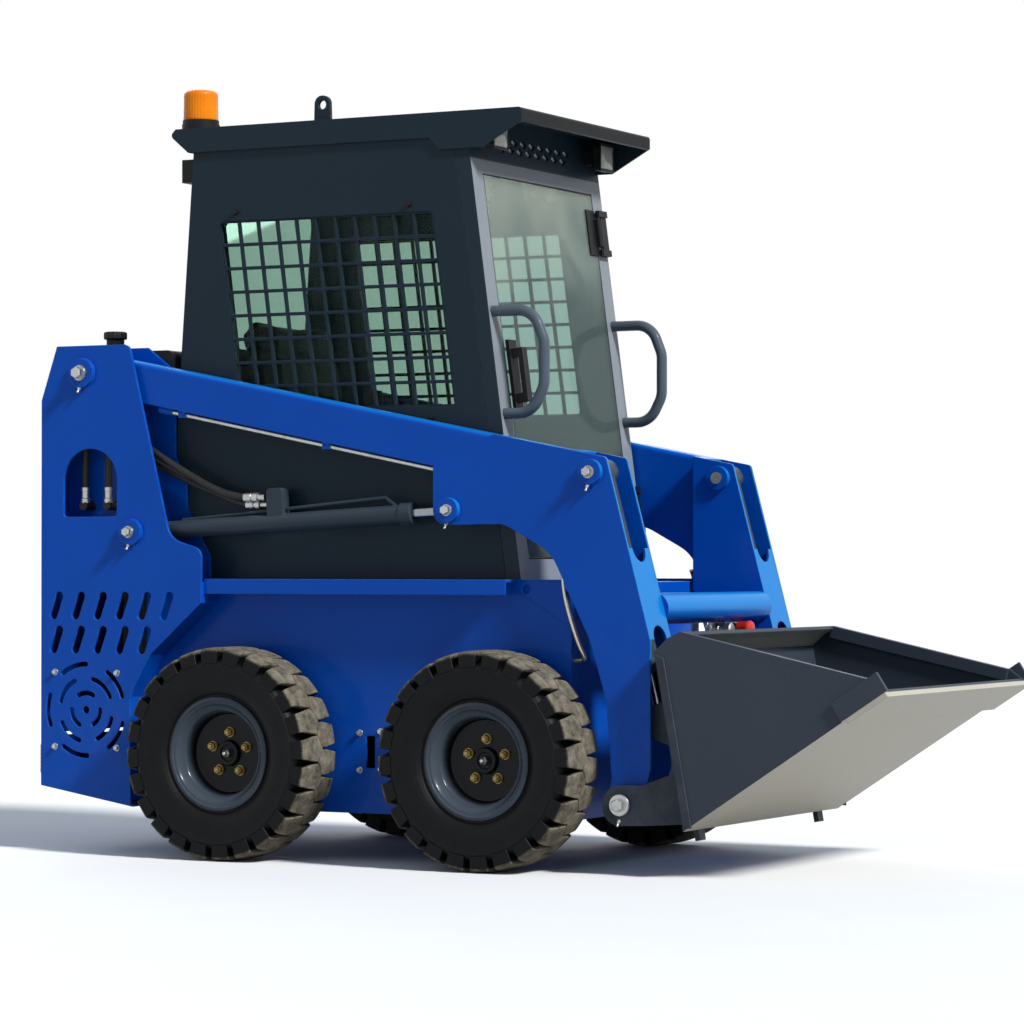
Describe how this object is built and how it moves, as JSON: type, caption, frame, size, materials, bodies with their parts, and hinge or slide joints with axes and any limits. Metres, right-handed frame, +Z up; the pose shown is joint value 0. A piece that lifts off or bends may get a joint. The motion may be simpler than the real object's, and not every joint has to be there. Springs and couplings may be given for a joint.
{
  "type": "compact skid steer loader",
  "caption": "Compact wheeled loader with a closed cab, twin lift arms beside it, hydraulic cylinders and a front bucket; wheels, arms, bucket and doors move.",
  "frame": {"origin": "on the floor, under the middle of the machine's overall length and width", "axes": "+X forward towards the bucket, +Y to the machine's left, +Z up"},
  "size_m": [2.652, 1.195, 2.168],
  "materials": {
    "body_paint": "gloss blue paint",
    "cab_paint": "satin charcoal paint",
    "pillar_paint": "satin grey paint",
    "bucket_paint": "satin charcoal paint",
    "edge_steel": "bare worn steel",
    "black_parts": "matte black",
    "engine_metal": "plain casting",
    "pin_steel": "zinc plated",
    "cylinder_paint": "satin black paint",
    "rod_chrome": "polished",
    "glass": "tinted clear",
    "lamp_lens": "clear",
    "red_lens": "gloss",
    "amber_lens": "gloss",
    "seat_cover": "matte vinyl",
    "tyre_rubber": "matte rubber",
    "wheel_paint": "satin grey paint"
  },
  "bodies": {
    "chassis": {"chassis_tub": "body_paint", "engine_block": "engine_metal", "tower_left": "body_paint", "tower_right": "body_paint", "tower_pins": "pin_steel", "fenders": "body_paint", "axle_housings": "body_paint", "engine_hood": "black_parts", "filler_cap": "black_parts", "tail_lamps": "red_lens", "rear_hinge_pins": "black_parts", "cab_side_left": "cab_paint", "cab_side_right": "cab_paint", "cab_grilles": "cab_paint", "cab_glass": "glass", "cab_rear": "cab_paint", "cab_front": "pillar_paint", "cab_header": "cab_paint", "tower_hoses": "black_parts", "cab_roof": "cab_paint", "cab_floor": "cab_paint", "cab_door_pins": "black_parts", "seat_base": "black_parts", "seat_cushion": "seat_cover", "seat_back": "seat_cover", "control_consoles": "black_parts", "grab_handles": "black_parts", "work_lamps": "black_parts", "work_lamp_lenses": "lamp_lens", "beacon_base": "black_parts", "beacon_lens": "amber_lens", "lifting_eyes": "cab_paint"},
    "arms": {"lift_arm_left": "body_paint", "lift_arm_right": "body_paint", "arm_cross_tube": "body_paint", "arm_pins": "pin_steel"},
    "bucket": {"bucket_shell": "bucket_paint", "cutting_edge": "edge_steel", "bucket_carrier": "bucket_paint", "bucket_pins": "pin_steel"},
    "cab_door": {"cab_door": "glass", "cab_door_hardware": "black_parts"},
    "rear_door": {"rear_door": "body_paint"},
    "lift_barrel_left": {"lift_barrel_left": "cylinder_paint"},
    "lift_rod_left": {"lift_rod_left": "rod_chrome"},
    "tilt_barrel_left": {"tilt_barrel_left": "cylinder_paint"},
    "tilt_rod_left": {"tilt_rod_left": "rod_chrome"},
    "lift_barrel_right": {"lift_barrel_right": "cylinder_paint"},
    "lift_rod_right": {"lift_rod_right": "rod_chrome"},
    "tilt_barrel_right": {"tilt_barrel_right": "cylinder_paint"},
    "tilt_rod_right": {"tilt_rod_right": "rod_chrome"},
    "wheel_front_left": {"tyre_front_left": "tyre_rubber", "rim_front_left": "wheel_paint"},
    "wheel_front_right": {"tyre_front_right": "tyre_rubber", "rim_front_right": "wheel_paint"},
    "wheel_rear_left": {"tyre_rear_left": "tyre_rubber", "rim_rear_left": "wheel_paint"},
    "wheel_rear_right": {"tyre_rear_right": "tyre_rubber", "rim_rear_right": "wheel_paint"}
  },
  "joints": [
    {"name": "lift", "type": "hinge", "parent": "chassis", "child": "arms", "pos_m": [-1.151, 0, 1.362], "axis": [0, -1, 0], "range_deg": [0, 66]},
    {"name": "tilt", "type": "hinge", "parent": "arms", "child": "bucket", "pos_m": [0.559, 0, 0.187], "axis": [0, 1, 0], "range_deg": [0, 130]},
    {"name": "lift_barrel_left_turn", "type": "hinge", "parent": "chassis", "child": "lift_barrel_left", "pos_m": [-0.983, 0.434, 0.909], "axis": [0, -1, 0], "range_deg": [-0.5, 61.14]},
    {"name": "lift_rod_left_slide", "type": "slide", "parent": "lift_barrel_left", "child": "lift_rod_left", "axis": [0.9985, 0, 0.0542], "range_m": [-0.002, 0.5152]},
    {"name": "tilt_barrel_left_turn", "type": "hinge", "parent": "arms", "child": "tilt_barrel_left", "pos_m": [0.461, 0.4, 1.062], "axis": [0, 1, 0], "range_deg": [-0.5, 4.46]},
    {"name": "tilt_rod_left_slide", "type": "slide", "parent": "tilt_barrel_left", "child": "tilt_rod_left", "axis": [0.2608, 0, -0.9654], "range_m": [-0.002, 0.41522]},
    {"name": "lift_barrel_right_turn", "type": "hinge", "parent": "chassis", "child": "lift_barrel_right", "pos_m": [-0.983, -0.434, 0.909], "axis": [0, -1, 0], "range_deg": [-0.5, 61.14]},
    {"name": "lift_rod_right_slide", "type": "slide", "parent": "lift_barrel_right", "child": "lift_rod_right", "axis": [0.9985, 0, 0.0542], "range_m": [-0.002, 0.5152]},
    {"name": "tilt_barrel_right_turn", "type": "hinge", "parent": "arms", "child": "tilt_barrel_right", "pos_m": [0.461, -0.4, 1.062], "axis": [0, 1, 0], "range_deg": [-0.5, 4.46]},
    {"name": "tilt_rod_right_slide", "type": "slide", "parent": "tilt_barrel_right", "child": "tilt_rod_right", "axis": [0.2608, 0, -0.9654], "range_m": [-0.002, 0.41522]},
    {"name": "cab_door_swing", "type": "hinge", "parent": "chassis", "child": "cab_door", "pos_m": [0.21989, 0.33, 0.79661], "axis": [-0.1343, 0, 0.9909], "range_deg": [0, 80]},
    {"name": "rear_door_swing", "type": "hinge", "parent": "chassis", "child": "rear_door", "pos_m": [-1.309, 0.398, 0.826], "axis": [0, 0, -1], "range_deg": [0, 110]},
    {"name": "wheel_front_left_spin", "type": "hinge", "parent": "chassis", "child": "wheel_front_left", "pos_m": [0.174, 0.51, 0.295], "axis": [0, 1, 0], "continuous": true},
    {"name": "wheel_front_right_spin", "type": "hinge", "parent": "chassis", "child": "wheel_front_right", "pos_m": [0.174, -0.51, 0.295], "axis": [0, 1, 0], "continuous": true},
    {"name": "wheel_rear_left_spin", "type": "hinge", "parent": "chassis", "child": "wheel_rear_left", "pos_m": [-0.636, 0.51, 0.295], "axis": [0, 1, 0], "continuous": true},
    {"name": "wheel_rear_right_spin", "type": "hinge", "parent": "chassis", "child": "wheel_rear_right", "pos_m": [-0.636, -0.51, 0.295], "axis": [0, 1, 0], "continuous": true}
  ],
  "couplings": [
    {"joint": "lift_barrel_left_turn", "follows": "lift", "ratio": 0.91872},
    {"joint": "lift_rod_left_slide", "follows": "lift", "m_per_rad": 0.44552},
    {"joint": "tilt_barrel_left_turn", "follows": "tilt", "ratio": 0.030448},
    {"joint": "tilt_rod_left_slide", "follows": "tilt", "m_per_rad": 0.18212},
    {"joint": "lift_barrel_right_turn", "follows": "lift", "ratio": 0.91872},
    {"joint": "lift_rod_right_slide", "follows": "lift", "m_per_rad": 0.44552},
    {"joint": "tilt_barrel_right_turn", "follows": "tilt", "ratio": 0.030448},
    {"joint": "tilt_rod_right_slide", "follows": "tilt", "m_per_rad": 0.18212}
  ]
}
